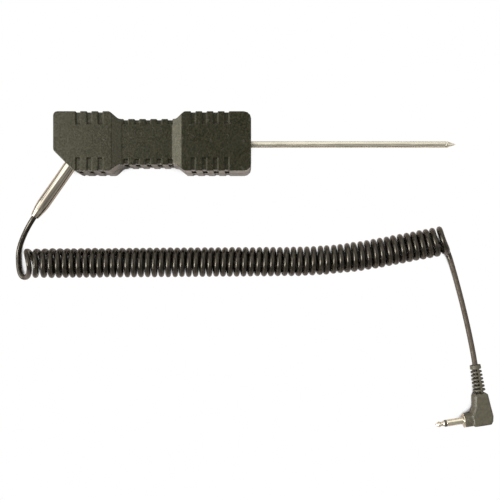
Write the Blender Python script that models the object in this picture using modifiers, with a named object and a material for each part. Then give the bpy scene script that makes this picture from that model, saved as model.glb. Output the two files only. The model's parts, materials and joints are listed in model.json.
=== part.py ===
"""A grain moisture meter's hand probe: needle, two-shell grip, coiled cord and right-angle jack plug.

The probe lies flat, as on a bench. Lengths are in metres.
The origin is on the underside of the grip's front block, at its centre and below the needle's axis.
+X points along the needle to its tip, +Z is up, and the cord lies on the -Y side of the grip.
"""

import math

import bmesh
import bpy
from mathutils import Matrix, Vector

MM = 0.001
GAP = 0.3 * MM  # clearance between neighbouring solids

# Grip: two blocks joined by a narrower, thinner waist.
GRIP_LENGTH = 96.6 * MM
GRIP_WIDTH = 29 * MM
GRIP_HEIGHT = 22 * MM
FRONT_BLOCK = 32.6 * MM
REAR_BLOCK = 27.5 * MM
PLAN_SLOPE = 4 * MM
WAIST_WIDTH = 22.4 * MM
WAIST_DROP = 2.5 * MM
FACE_OVERHANG_FRONT = 1.5 * MM  # how far the blocks' top faces run on past their plan corners
FACE_OVERHANG_REAR = 1 * MM
FACE_SLOPE = 4.6 * MM
CORNER_CHAMFER = 10 * MM
NOSE_RADIUS = 3.5 * MM
CORNER_RADIUS = 2 * MM
EDGE_RADIUS = 1 * MM
WALL = 2.4 * MM

NOSE_X = FRONT_BLOCK / 2
REAR_X = NOSE_X - GRIP_LENGTH
AXIS_Z = GRIP_HEIGHT / 2  # the needle's axis, and the plane where the shells part
HALF_PARTING = GAP / 2

# Finger grooves cut over the long edges of both shells.
GROOVE_PITCH = 5.45 * MM
GROOVE_WIDTH = 2.3 * MM
GROOVE_DEPTH = 0.5 * MM
BLOCK_GROOVE_REACH = 6.3 * MM
WAIST_GROOVE_REACH = 2.65 * MM
FRONT_GROOVE_X = NOSE_X - 28.25 * MM  # centre of each row's rearmost groove
WAIST_GROOVE_X = NOSE_X - 61.5 * MM
REAR_GROOVE_X = NOSE_X - 84.45 * MM
PARTING_RIM = 1 * MM

# Needle and what it holds.
NEEDLE_LENGTH = 102.5 * MM
NEEDLE_RADIUS = 1.6 * MM
NEEDLE_BORE = 1.2 * MM
NEEDLE_POINT = 4.2 * MM
NEEDLE_TAIL = 20 * MM  # length inside the grip
NEEDLE_STUB = 1 * MM  # straight part of the point in front of the tube
POINT_PLUG = 2 * MM  # part of the point that sits inside the tube
TIP_RADIUS = 0.14 * MM
TIP_BLUNTING = 0.25 * MM
HUB_RADIUS = 4 * MM
HUB_AHEAD, HUB_BEHIND = 4.5 * MM, 6 * MM  # the hub's ends, from its flange's front face
HUB_FLANGE = 5.5 * MM
HUB_FLANGE_THICKNESS = 1.2 * MM
HUB_X = NOSE_X - 10 * MM  # front face of the hub's flange
SEAL_RADIUS = 3.6 * MM
SEAL_THICKNESS = 1.5 * MM
BEAD_RADIUS = 0.95 * MM
BEAD_LENGTH = 3.6 * MM
LEAD_RADIUS = 0.4 * MM
LEAD_OFFSET = 0.6 * MM

# Board in the waist where the sensor's leads meet the cord's conductors.
BOARD_FRONT = -24 * MM
BOARD_LENGTH = 14 * MM
BOARD_WIDTH = 9 * MM
BOARD_THICKNESS = 1.2 * MM
BOARD_TOP = AXIS_Z - 1 * MM
PAD_RADIUS = 0.9 * MM
PAD_HEIGHT = 0.5 * MM
PAD_INSET = 2.6 * MM
WIRE_Y = 2.5 * MM  # how far from the board's middle its wires and pads lie

# Screws that hold the lower shell to the upper one.
SCREW_X = (11 * MM, 11 * MM, -59 * MM, -75.5 * MM)
SCREW_Y = (10 * MM, -10 * MM, -4.5 * MM, 9.5 * MM)
SCREW_RADIUS = 1.1 * MM
SCREW_HEAD = 2.1 * MM
SCREW_LENGTH = 12 * MM
SCREW_HEAD_HEIGHT = 1.6 * MM
SCREW_POINT = 1.6 * MM
RECESS_REACH = 1.2 * MM
RECESS_HALF_WIDTH = 0.3 * MM
RECESS_DEPTH = 0.8 * MM
BOSS_RADIUS = 2.6 * MM
SCREW_SEAT = 3.2 * MM  # height of the head's underside above the lower face

# Strain sleeve: it leaves the chamfered corner and guides the cord.
SLEEVE_ANGLE = math.radians(-125)
SLEEVE_EXIT = Vector((-73.6 * MM, -9.5 * MM, AXIS_Z))  # a point on its axis near the corner's wall
SLEEVE_OUT = 32.6 * MM
SLEEVE_IN = 7 * MM
SLEEVE_RADIUS = 3.15 * MM
SLEEVE_TAPER = 9 * MM
SLEEVE_FLANGE = 0.8 * MM
SLEEVE_MOUTH = 2 * MM
SLEEVE_RIM = 0.3 * MM
SLEEVE_TAPER_STEPS = 4
FLANGE_STEP = 0.9 * MM  # how far the inner flange stands out from the sleeve
CRIMP_RADIUS = 2.4 * MM
CRIMP_LENGTH = 3.7 * MM
CORD_ROOT = 6 * MM  # length of cord that shows behind the sleeve, inside the grip
FIT = 0.1 * MM  # clearance between pieces pressed together

# Cord and coil.
CORD_RADIUS = 1.35 * MM
COIL_RADIUS = 6.15 * MM  # of the cord's centre line
COIL_PITCH = 3.46 * MM
COIL_TURNS = 60
LOOSENING = 0.51  # the first turns are this much further apart, in pitches
LOOSE_TURNS = 1.5
LAST_TURN_LOOSENING = 0.14
LAST_TURN_SWAY = 0.85 * MM  # the last turn's -Y side runs ahead by this much
COIL_START = Vector((-96 * MM, -59.5 * MM, COIL_RADIUS + CORD_RADIUS))
COIL_HEADING = math.radians(0.4)
COIL_STRAIGHT = 131 * MM  # after this the coil's axis bends
BEND_RADIUS = 265 * MM
BEND_ANGLE = math.radians(10.5)
LEAN = 0.25 * MM  # each turn's +Y side lags behind and its -Y side runs ahead by this much
START_LEAN = 0.55 * MM  # more lean at the coil's start, fading over some turns
START_LEAN_TURNS = 6
END_LEAN = 1.1 * MM
END_LEAN_TURNS = 4
START_TIP = 1.8 * MM  # the tops of the first turns are tipped forwards, and of the last ones back
START_TIP_TURNS = 2
END_TIP = 1.3 * MM
END_TIP_TURNS = 3.5
COIL_STEPS = 10  # centre-line points in a turn
CORD_SIDES_RESOLUTION = 1  # a bevel of six sides
LEAD_IN_LOW = Vector((-103.1 * MM, -56 * MM, CORD_RADIUS))
SLEEVE_PULL = 16 * MM  # pulls set how far a path keeps its direction near one of its ends
LEAD_IN_PULL = 20 * MM
LOOP_PULL = 14.4 * MM
LOOP_BOTTOM = Vector((-99.8 * MM, -66.6 * MM, 2.7 * MM))  # where the cord turns in to the first turn
LOOP_BOTTOM_PULL = Vector((9 * MM, -1 * MM, 4 * MM))
LOOP_TOP = Vector((-94.5 * MM, -59.6 * MM, 13.6 * MM))
LOOP_TOP_PULL = Vector((-2 * MM, 11 * MM, 0))
FIRST_TURN_PULL = 8 * MM
TAIL_TOUCHDOWN = Vector((118.5 * MM, -57.2 * MM, CORD_RADIUS))
TAIL_HEADING = math.radians(16.5)  # from -Y towards +X
LAST_TURN_PULL = 15 * MM
TOUCHDOWN_PULL = 12 * MM
TAIL_PULL = 50 * MM

# The cord is cut where it bends, so that the bending lengths are pieces of their own.
LEAD_IN_STEPS = 20
BEND_START, BEND_END = 2, 8  # the lead-in's steps that bend at the sleeve
TAIL_STEPS = 14
TAIL_BEND_START, TAIL_BEND_END = 2, 4
STUB_START = 13
END_GAP = 0.0045  # of a turn, between the coil and its end turn
END_STUB = 0.02  # of a turn, a short last step that squares the cut end to the cord

# Jack plug, 3.5 mm, two poles, right-angled.
PLUG_ORIGIN = Vector((134.8 * MM, -138 * MM, 3.9 * MM))  # where the pin's and the boot's axes cross
PLUG_TURN = math.radians(9)
PIN_RADIUS = 1.75 * MM
PIN_LENGTH = 14.3 * MM
PIN_TIP = 5.6 * MM  # from the ring's back to the pin's end
RING_WIDTH = 0.8 * MM
INSULATOR_RADIUS = 1 * MM
TIP_ROD_RADIUS = 0.6 * MM
SHANK_RADIUS = 2 * MM  # of the pin's sleeve inside the moulding
SHANK_END, INSULATOR_END, TIP_ROD_END = 3.2 * MM, 2.6 * MM, 1.6 * MM
BARREL_RADIUS = 3.6 * MM
BARREL_END = 9.6 * MM
FLANGE_THICKNESS = 0.6 * MM
BODY_TOP = 12.7 * MM
JACKET_END = 9 * MM
BODY_OUTLINE = (  # mm, in the plug's own frame: +X along the pin, +Y along the boot
    (-3.3, 12.7), (-3.9, 6), (-4.45, 0.5), (-3.9, -2.2), (-2.9, -3.6), (5.6, -3.6),
    (6.5, -2.6), (6.5, 2.4), (5.3, 4.2), (4.3, 6.6), (3.5, 12.7),
)
FACET = 2 * MM
PIN_BORE_START = 0.5 * MM
PIN_BORE_RADIUS = SHANK_RADIUS + GAP
CORD_BORE_RADIUS = CORD_RADIUS + GAP
CONDUCTOR_RADIUS = 0.35 * MM
BOOT_LENGTH = 14.4 * MM
BOOT_ROOT_RADIUS = 3.2 * MM
BOOT_MOUTH_RADIUS = 2.7 * MM
BOOT_ROLL = math.radians(16)  # the spine is turned a little about the boot's axis
BOOT_SLOTS = 7
BOOT_PITCH = 1.87 * MM
BOOT_FIRST_SLOT = -0.2 * MM  # the first slot leaves a neck against the body
BOOT_SLOT_WIDTH = 1.05 * MM
BOOT_SPINE = 0.9 * MM  # width of the two spines that join the ribs

MATERIALS = {
    "grip_plastic": ((0.045, 0.044, 0.035), 0.42, 0.0),
    "stainless": ((0.62, 0.6, 0.54), 0.22, 1.0),
    "nickel": ((0.72, 0.69, 0.6), 0.18, 1.0),
    "brass": ((0.72, 0.52, 0.22), 0.3, 1.0),
    "zinc_steel": ((0.55, 0.55, 0.54), 0.35, 1.0),
    "cord_vinyl": ((0.028, 0.028, 0.022), 0.38, 0.0),
    "plug_vinyl": ((0.05, 0.048, 0.04), 0.5, 0.0),
    "black_resin": ((0.015, 0.015, 0.015), 0.4, 0.0),
    "sensor_epoxy": ((0.03, 0.03, 0.03), 0.3, 0.0),
    "red_insulation": ((0.45, 0.03, 0.03), 0.45, 0.0),
    "white_insulation": ((0.75, 0.74, 0.7), 0.45, 0.0),
    "board": ((0.04, 0.16, 0.07), 0.45, 0.0),
}


# ---------------------------------------------------------------- scene, objects and materials

def clear_scene():
    for obj in list(bpy.data.objects):
        bpy.data.objects.remove(obj)


def make_collection(name):
    collection = bpy.data.collections.new(name)
    bpy.context.scene.collection.children.link(collection)
    return collection


clear_scene()
PARTS = make_collection("grain_moisture_probe")
CUTTERS = make_collection("cutters")


def material(name):
    found = bpy.data.materials.get(name)
    if found:
        return found
    colour, roughness, metallic = MATERIALS[name]
    made = bpy.data.materials.new(name)
    made.use_nodes = True
    shader = made.node_tree.nodes["Principled BSDF"]
    shader.inputs["Base Color"].default_value = (*colour, 1)
    shader.inputs["Roughness"].default_value = roughness
    shader.inputs["Metallic"].default_value = metallic
    return made


def add_object(name, data, material_name=None, collection=PARTS):
    obj = bpy.data.objects.new(name, data)
    collection.objects.link(obj)
    if material_name:
        data.materials.append(material(material_name))
    return obj


def as_cutter(obj):
    """Moves a shape to the cutters' collection, where neither a render nor the build shows it."""
    for collection in list(obj.users_collection):
        collection.objects.unlink(obj)
    CUTTERS.objects.link(obj)
    obj.hide_render = True
    obj.display_type = "WIRE"
    return obj


def boolean(obj, other, operation):
    modifier = obj.modifiers.new(operation.lower(), "BOOLEAN")
    modifier.operation = operation
    modifier.object = other
    modifier.solver = "EXACT"
    return as_cutter(other)


def cut(obj, other):
    return boolean(obj, other, "DIFFERENCE")


def join(obj, other):
    return boolean(obj, other, "UNION")


def shade_smooth(obj, degrees=35):
    obj.data.shade_smooth()
    obj.data.set_sharp_from_angle(angle=math.radians(degrees))


def frame(point, x_axis, z_axis=Vector((0, 0, 1))):
    """The matrix that puts a local shape at a point, with its X axis along x_axis."""
    x = Vector(x_axis).normalized()
    y = Vector(z_axis).cross(x).normalized()
    z = x.cross(y)
    turned_to = Matrix((x, y, z)).transposed().to_4x4()
    return Matrix.Translation(point) @ turned_to


# ---------------------------------------------------------------- basic shapes

def box(name, low, high, material_name=None, place=Matrix()):
    """A box between two corners given in its own frame."""
    low, high = Vector(low), Vector(high)
    mesh = bpy.data.meshes.new(name)
    shape = bmesh.new()
    size = Matrix.Diagonal((*(high - low), 1))
    bmesh.ops.create_cube(shape, size=1, matrix=Matrix.Translation((low + high) / 2) @ size)
    shape.to_mesh(mesh)
    shape.free()
    obj = add_object(name, mesh, material_name)
    obj.matrix_world = place
    return obj


def rod(name, radius, start, end, material_name=None, segments=16, end_radius=None):
    """A cylinder, or a cone if end_radius is given, between two points."""
    start, end = Vector(start), Vector(end)
    axis = end - start
    mesh = bpy.data.meshes.new(name)
    shape = bmesh.new()
    last = radius if end_radius is None else end_radius
    bmesh.ops.create_cone(
        shape, cap_ends=True, segments=segments, radius1=radius, radius2=last, depth=axis.length
    )
    shape.to_mesh(mesh)
    shape.free()
    obj = add_object(name, mesh, material_name)
    turn = axis.to_track_quat("Z", "Y").to_matrix().to_4x4()
    obj.matrix_world = Matrix.Translation((start + end) / 2) @ turn
    shade_smooth(obj)
    return obj


def turned(name, profile, place, material_name=None, steps=16, closed=True):
    """A turned solid. The profile lists (distance along the axis, radius), from the far end back
    along the outside and, for a hollow piece, forwards again along the bore. Its axis is local X."""
    mesh = bpy.data.meshes.new(name)
    points = [(radius, 0, along) for along, radius in profile]
    edges = [(i, i + 1) for i in range(len(points) - 1)]
    if closed:
        edges.append((len(points) - 1, 0))
    mesh.from_pydata(points, edges, [])
    obj = add_object(name, mesh, material_name)
    screw = obj.modifiers.new("turn", "SCREW")
    screw.steps = screw.render_steps = steps
    screw.use_merge_vertices = True
    screw.merge_threshold = 0.00001
    screw.use_smooth_shade = True
    obj.matrix_world = place @ Matrix.Rotation(math.radians(90), 4, "Y")
    return obj


def solid_turned(name, profile, place, material_name=None, steps=16):
    """A turned solid with no bore: its profile starts and ends on the axis."""
    return turned(name, profile, place, material_name, steps, closed=False)


def as_mesh(curve_obj):
    """Turns a curve object into a mesh object with its caps welded on, so that it can be cut or joined."""
    graph = bpy.context.evaluated_depsgraph_get()
    mesh = bpy.data.meshes.new_from_object(curve_obj.evaluated_get(graph))
    shape = bmesh.new()
    shape.from_mesh(mesh)
    bmesh.ops.remove_doubles(shape, verts=shape.verts, dist=0.000001)
    bmesh.ops.recalc_face_normals(shape, faces=shape.faces)
    shape.to_mesh(mesh)
    shape.free()
    name = curve_obj.name
    place = curve_obj.matrix_world.copy()
    bpy.data.objects.remove(curve_obj)
    obj = add_object(name, mesh)
    obj.matrix_world = place
    return obj


def plate(name, outline, thickness, place=Matrix(), material_name=None):
    """A flat outline in its own XY plane, thickened equally to both sides."""
    curve = bpy.data.curves.new(name, "CURVE")
    curve.dimensions = "2D"
    curve.fill_mode = "BOTH"
    curve.extrude = thickness / 2
    spline = curve.splines.new("POLY")
    spline.points.add(len(outline) - 1)
    for point, (x, y) in zip(spline.points, outline):
        point.co = (x, y, 0, 1)
    spline.use_cyclic_u = True
    obj = add_object(name, curve, material_name)
    obj.matrix_world = place
    bpy.context.view_layer.update()
    return as_mesh(obj)


def wire(name, points, radius, material_name, resolution=CORD_SIDES_RESOLUTION):
    """A round wire through the given points."""
    curve = bpy.data.curves.new(name, "CURVE")
    curve.dimensions = "3D"
    curve.bevel_depth = radius
    curve.bevel_resolution = resolution
    curve.use_fill_caps = True
    spline = curve.splines.new("POLY")
    spline.points.add(len(points) - 1)
    for point, at in zip(spline.points, points):
        point.co = (*at, 1)
    return add_object(name, curve, material_name)


# ---------------------------------------------------------------- outlines

def line_meeting(a, b, c, d):
    """Where the line through a and b meets the line through c and d."""
    r, s = b - a, d - c
    return a + r * ((c - a).cross(s) / r.cross(s))


def inset(outline, distance):
    """An anticlockwise outline moved inwards by distance."""
    count = len(outline)
    moved = []
    for i, point in enumerate(outline):
        ahead = outline[(i + 1) % count] - point
        moved.append((point, ahead, Vector((-ahead.y, ahead.x)).normalized() * distance))
    result = []
    for i in range(count):
        p0, d0, n0 = moved[i - 1]
        p1, d1, n1 = moved[i]
        result.append(line_meeting(p0 + n0, p0 + n0 + d0, p1 + n1, p1 + n1 + d1))
    return result


def rounded(outline, radii, steps=3):
    """The outline with each corner replaced by an arc of its radius."""
    result = []
    count = len(outline)
    for i, corner in enumerate(outline):
        before = (outline[i - 1] - corner).normalized()
        after = (outline[(i + 1) % count] - corner).normalized()
        half = before.angle(after) / 2
        if radii[i] <= 0:
            result.append(corner)
            continue
        centre = corner + (before + after).normalized() * (radii[i] / math.sin(half))
        first = corner + before * (radii[i] / math.tan(half)) - centre
        sweep = first.angle_signed(corner + after * (radii[i] / math.tan(half)) - centre)
        for step in range(steps + 1):
            turn = Matrix.Rotation(-sweep * step / steps, 2)
            result.append(centre + turn @ first)
    return result


def plan_outline():
    """The grip seen from above, anticlockwise, with its chamfered corner at the rear on the -Y side."""
    half, waist = GRIP_WIDTH / 2, WAIST_WIDTH / 2
    front, rear = NOSE_X - FRONT_BLOCK, REAR_X + REAR_BLOCK
    right_side = [(NOSE_X, half), (front, half), (front - PLAN_SLOPE, waist)]
    right_side += [(rear + PLAN_SLOPE, waist), (rear, half), (REAR_X, half)]
    left_side = [(REAR_X, -half + CORNER_CHAMFER), (REAR_X + CORNER_CHAMFER, -half), (rear, -half)]
    left_side += [(rear + PLAN_SLOPE, -waist), (front - PLAN_SLOPE, -waist), (front, -half)]
    return [Vector(p) for p in right_side + left_side + [(NOSE_X, -half)]]


PLAN_RADII = [NOSE_RADIUS] + [CORNER_RADIUS] * 11 + [NOSE_RADIUS]


def side_outline():
    """The grip seen from its -Y side, as (X, Z), anticlockwise."""
    front = NOSE_X - FRONT_BLOCK - FACE_OVERHANG_FRONT
    rear = REAR_X + REAR_BLOCK + FACE_OVERHANG_REAR
    low, high = WAIST_DROP, GRIP_HEIGHT - WAIST_DROP
    under = [(REAR_X, 0), (rear, 0), (rear + FACE_SLOPE, low), (front - FACE_SLOPE, low), (front, 0)]
    over = [(front, GRIP_HEIGHT), (front - FACE_SLOPE, high), (rear + FACE_SLOPE, high)]
    over += [(rear, GRIP_HEIGHT), (REAR_X, GRIP_HEIGHT)]
    return [Vector(p) for p in under + [(NOSE_X, 0), (NOSE_X, GRIP_HEIGHT)] + over]


def grip_form(name, depth, corner_steps):
    """The grip's outer form moved inwards by depth: its plan and its side view, intersected."""
    radii = [max(radius - depth, 0.4 * MM) for radius in PLAN_RADII]
    plan = plate(name, rounded(inset(plan_outline(), depth), radii, corner_steps), 2 * GRIP_HEIGHT)
    stand_up = frame((0, 0, 0), (1, 0, 0), (0, -1, 0))
    side = plate(name + "_side", inset(side_outline(), depth), 2 * GRIP_WIDTH, stand_up)
    boolean(plan, side, "INTERSECT")
    return plan


# ---------------------------------------------------------------- grip shells

def heights(low, high, upper):
    """A span of heights given for the upper shell, mirrored in the parting plane for the lower one."""
    return (low, high) if upper else (GRIP_HEIGHT - high, GRIP_HEIGHT - low)


def groove_cutter(name, first_x, count, half_width, surface, reach, upper):
    """A row of grooves over a shell's +Y and -Y edges. One groove is an angle piece lying in the YZ plane."""
    inner, outer = half_width - reach, half_width + 2 * MM
    side = half_width - GROOVE_DEPTH
    rim, floor, above = AXIS_Z + PARTING_RIM, surface - GROOVE_DEPTH, surface + 2 * MM
    outline = [(side, rim), (outer, rim), (outer, above), (inner, above), (inner, floor), (side, floor)]
    if not upper:
        outline = [(y, GRIP_HEIGHT - z) for y, z in reversed(outline)]
    place = frame((first_x, 0, 0), (0, 1, 0), (1, 0, 0))
    groove = plate(name, outline, GROOVE_WIDTH, place)
    row = groove.modifiers.new("row", "ARRAY")
    row.count = count
    row.use_relative_offset = False
    row.use_constant_offset = True
    row.constant_offset_displace = (0, 0, GROOVE_PITCH)
    mirror = groove.modifiers.new("both_edges", "MIRROR")
    mirror.use_axis = (True, False, False)
    mirror.merge_threshold = 0.00001
    return groove


def groove_cutters(upper):
    block, waist = GRIP_WIDTH / 2, WAIST_WIDTH / 2
    waist_face = GRIP_HEIGHT - WAIST_DROP
    reach, waist_reach = BLOCK_GROOVE_REACH, WAIST_GROOVE_REACH
    return [
        groove_cutter("front_grooves", FRONT_GROOVE_X, 4, block, GRIP_HEIGHT, reach, upper),
        groove_cutter("waist_grooves", WAIST_GROOVE_X, 5, waist, waist_face, waist_reach, upper),
        groove_cutter("rear_grooves", REAR_GROOVE_X, 3, block, GRIP_HEIGHT, reach, upper),
    ]


def sleeve_axis():
    return Vector((math.cos(SLEEVE_ANGLE), math.sin(SLEEVE_ANGLE), 0))


def grip_shell(name, upper):
    """One half of the grip: outer form, hollowed, grooved, bored for needle and sleeve."""
    shell = grip_form(name, 0, 3)
    shell.data.materials.append(material("grip_plastic"))
    edges = shell.modifiers.new("rounded_edges", "BEVEL")
    edges.width = EDGE_RADIUS
    edges.segments = 2
    edges.limit_method = "ANGLE"
    edges.angle_limit = math.radians(40)
    shell.modifiers.new("flat_faces", "TRIANGULATE")
    for grooves in groove_cutters(upper):
        cut(shell, grooves)
    cut(shell, grip_form(name + "_hollow", WALL, 1))
    nose_bore = rod(name + "_nose_bore", NEEDLE_RADIUS + GAP, (NOSE_X - 8 * MM, 0, AXIS_Z),
                    (NOSE_X + 2 * MM, 0, AXIS_Z), segments=20)
    cut(shell, nose_bore)
    out = sleeve_axis()
    sleeve_bore = rod(name + "_sleeve_bore", SLEEVE_RADIUS + GAP, SLEEVE_EXIT - out * 7 * MM,
                      SLEEVE_EXIT + out * 7 * MM, segments=20)
    cut(shell, sleeve_bore)
    for number in range(len(SCREW_X)):
        add_boss(shell, number, upper)
    add_hub_ribs(shell, upper)
    add_sleeve_rib(shell, upper)
    if not upper:
        add_board_ribs(shell)
    half = 3 * GRIP_LENGTH
    if upper:
        other_half = box(name + "_below", (-half, -half, -half), (half, half, AXIS_Z + HALF_PARTING))
    else:
        other_half = box(name + "_above", (-half, -half, AXIS_Z - HALF_PARTING), (half, half, half))
    cut(shell, other_half)
    return shell


def add_boss(shell, number, upper):
    """A screw boss inside a shell, with the screw's pilot hole or its clearance hole and head pocket."""
    x, y = SCREW_X[number], SCREW_Y[number]
    tag = f"{shell.name}_boss_{number}"
    buried = 1 * MM
    low, high = (AXIS_Z, GRIP_HEIGHT - buried) if upper else (buried, AXIS_Z)
    join(shell, rod(tag, BOSS_RADIUS, (x, y, low), (x, y, high), segments=12))
    tip = SCREW_SEAT + SCREW_LENGTH
    if upper:
        pilot = SCREW_RADIUS + GAP
        cut(shell, rod(tag + "_pilot", pilot, (x, y, 0), (x, y, tip + GAP), segments=12))
        return
    clearance = SCREW_RADIUS + GAP
    cut(shell, rod(tag + "_clearance", clearance, (x, y, -1 * MM), (x, y, GRIP_HEIGHT), segments=12))
    pocket = SCREW_HEAD + GAP
    cut(shell, rod(tag + "_pocket", pocket, (x, y, -1 * MM), (x, y, SCREW_SEAT + GAP), segments=16))


def add_hub_ribs(shell, upper):
    """Two cradle ribs that hold the needle's hub, one on each side of its flange."""
    low, high = heights(AXIS_Z, GRIP_HEIGHT - 1 * MM, upper)
    half, thick = 7 * MM, 1.5 * MM
    front = HUB_X + GAP
    for side, x in (("front", front), ("back", HUB_X - HUB_FLANGE_THICKNESS - GAP - thick)):
        tag = f"{shell.name}_{side}_rib"
        join(shell, box(tag, (x, -half, low), (x + thick, half, high)))
        start, end = Vector((x - MM, 0, AXIS_Z)), Vector((x + thick + MM, 0, AXIS_Z))
        cut(shell, rod(tag + "_cradle", HUB_RADIUS + GAP, start, end, segments=20))


def add_sleeve_rib(shell, upper):
    """A rib across the sleeve's inner end, which keeps its flange from pulling out."""
    out = sleeve_axis()
    place = frame(SLEEVE_EXIT - out * (SLEEVE_IN - SLEEVE_FLANGE - GAP), out)
    low, high = (-0.5 * MM, AXIS_Z - 1 * MM) if upper else (1 * MM - AXIS_Z, 0.5 * MM)
    tag = shell.name + "_sleeve_rib"
    join(shell, box(tag, (0, -6 * MM, low), (1.6 * MM, 6 * MM, high), place=place))
    start, end = SLEEVE_EXIT - out * (SLEEVE_IN - 0.2 * MM), SLEEVE_EXIT - out * (SLEEVE_IN - 4 * MM)
    cut(shell, rod(tag + "_cradle", SLEEVE_RADIUS + GAP, start, end, segments=24))


def add_board_ribs(shell):
    """Two low ribs across the lower shell that the joint board lies on."""
    top = BOARD_TOP - BOARD_THICKNESS - GAP
    for number, x in enumerate((BOARD_FRONT - 3 * MM, BOARD_FRONT - BOARD_LENGTH + 1.5 * MM)):
        low, high = (x, -4 * MM, WAIST_DROP + 1 * MM), (x + 1.5 * MM, 4 * MM, top)
        join(shell, box(f"board_rib_{number}", low, high))


# ---------------------------------------------------------------- needle and electrics

def needle_parts():
    forwards = frame((0, 0, AXIS_Z), (1, 0, 0))
    tip = NOSE_X + NEEDLE_LENGTH
    tube_end = tip - NEEDLE_POINT - NEEDLE_STUB
    tube = [(tube_end, NEEDLE_RADIUS), (NOSE_X - NEEDLE_TAIL, NEEDLE_RADIUS)]
    tube += [(NOSE_X - NEEDLE_TAIL, NEEDLE_BORE), (tube_end, NEEDLE_BORE)]
    turned("needle_tube", tube, forwards, "stainless", steps=20)
    shoulder = tip - NEEDLE_POINT
    plug_radius = NEEDLE_BORE - FIT
    plug_end = tube_end - POINT_PLUG
    point = [(tip, 0), (tip - TIP_BLUNTING, TIP_RADIUS), (shoulder, NEEDLE_RADIUS)]
    point += [(tube_end + FIT, NEEDLE_RADIUS), (tube_end + FIT, plug_radius)]
    point += [(plug_end, plug_radius), (plug_end, 0)]
    solid_turned("needle_point", point, forwards, "stainless", steps=20)
    hub_bore = NEEDLE_RADIUS + FIT
    flange_back = HUB_X - HUB_FLANGE_THICKNESS
    hub_front, hub_back = HUB_X + HUB_AHEAD, HUB_X - HUB_BEHIND
    hub = [(hub_front, HUB_RADIUS), (HUB_X, HUB_RADIUS), (HUB_X, HUB_FLANGE), (flange_back, HUB_FLANGE)]
    hub += [(flange_back, HUB_RADIUS), (hub_back, HUB_RADIUS), (hub_back, hub_bore), (hub_front, hub_bore)]
    turned("needle_hub", hub, forwards, "brass", steps=20)
    face = NOSE_X - WALL - GAP
    back = face - SEAL_THICKNESS
    seal = [(face, SEAL_RADIUS), (back, SEAL_RADIUS), (back, hub_bore), (face, hub_bore)]
    turned("nose_seal", seal, forwards, "plug_vinyl", steps=20)
    return plug_end


def sensor_parts(plug_face):
    """The sensing bead behind the needle's point, and its two leads back to the board."""
    bead_end = plug_face - GAP
    bead = [(bead_end, 0)]
    for step in range(1, 4):
        angle = math.radians(30 * step)
        bead.append((bead_end - BEAD_RADIUS * (1 - math.cos(angle)), BEAD_RADIUS * math.sin(angle)))
    bead += [(bead_end - BEAD_LENGTH, BEAD_RADIUS), (bead_end - BEAD_LENGTH, 0)]
    solid_turned("sensing_bead", bead, frame((0, 0, AXIS_Z), (1, 0, 0)), "sensor_epoxy", steps=12)
    start = bead_end - BEAD_LENGTH - GAP
    for name, side, colour in (("a", 1, "red_insulation"), ("b", -1, "white_insulation")):
        y = side * LEAD_OFFSET
        free = NOSE_X - NEEDLE_TAIL - 2 * MM
        points = [(start, y, AXIS_Z), (free, y, AXIS_Z)]
        points += [(free - 2.5 * MM, side * 2 * MM, AXIS_Z + 0.6 * MM)]
        points += [(BOARD_FRONT + 1 * MM, side * WIRE_Y, BOARD_TOP + LEAD_RADIUS + GAP)]
        points += [(BOARD_FRONT - 1.2 * MM, side * WIRE_Y, BOARD_TOP + LEAD_RADIUS + GAP)]
        wire(f"sensor_lead_{name}", [Vector(p) for p in points], LEAD_RADIUS, colour)


def board_parts():
    """The joint board in the waist, with four raised solder pads."""
    back = BOARD_FRONT - BOARD_LENGTH
    low = (back, -BOARD_WIDTH / 2, BOARD_TOP - BOARD_THICKNESS)
    board = box("joint_board", low, (BOARD_FRONT, BOARD_WIDTH / 2, BOARD_TOP), "board")
    for x in (BOARD_FRONT - PAD_INSET, back + PAD_INSET):
        for y in (-WIRE_Y, WIRE_Y):
            pad = rod("pad", PAD_RADIUS, (x, y, BOARD_TOP - PAD_HEIGHT), (x, y, BOARD_TOP + PAD_HEIGHT),
                      segments=8, end_radius=PAD_HEIGHT)
            join(board, pad)
    return board


def screws():
    """Pan-head screws driven up through the lower shell, each with a cross recess."""
    for number, (x, y) in enumerate(zip(SCREW_X, SCREW_Y), start=1):
        upwards = frame((x, y, 0), (0, 0, 1), (1, 0, 0))
        head = SCREW_SEAT - SCREW_HEAD_HEIGHT
        end = SCREW_SEAT + SCREW_LENGTH
        profile = [(end, 0), (end - SCREW_POINT, SCREW_RADIUS), (SCREW_SEAT, SCREW_RADIUS)]
        profile += [(SCREW_SEAT, SCREW_HEAD), (head + 0.5 * MM, SCREW_HEAD)]
        profile += [(head, SCREW_HEAD - 0.7 * MM), (head, 0)]
        screw = solid_turned(f"shell_screw_{number}", profile, upwards, "zinc_steel", steps=20)
        for across in (0, 90):
            turn = Matrix.Translation((x, y, head)) @ Matrix.Rotation(math.radians(across), 4, "Z")
            blade = RECESS_HALF_WIDTH
            cut(screw, box(f"recess_{number}_{across}", (-RECESS_REACH, -blade, -MM),
                           (RECESS_REACH, blade, RECESS_DEPTH), place=turn))


# ---------------------------------------------------------------- strain sleeve and cord

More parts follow.
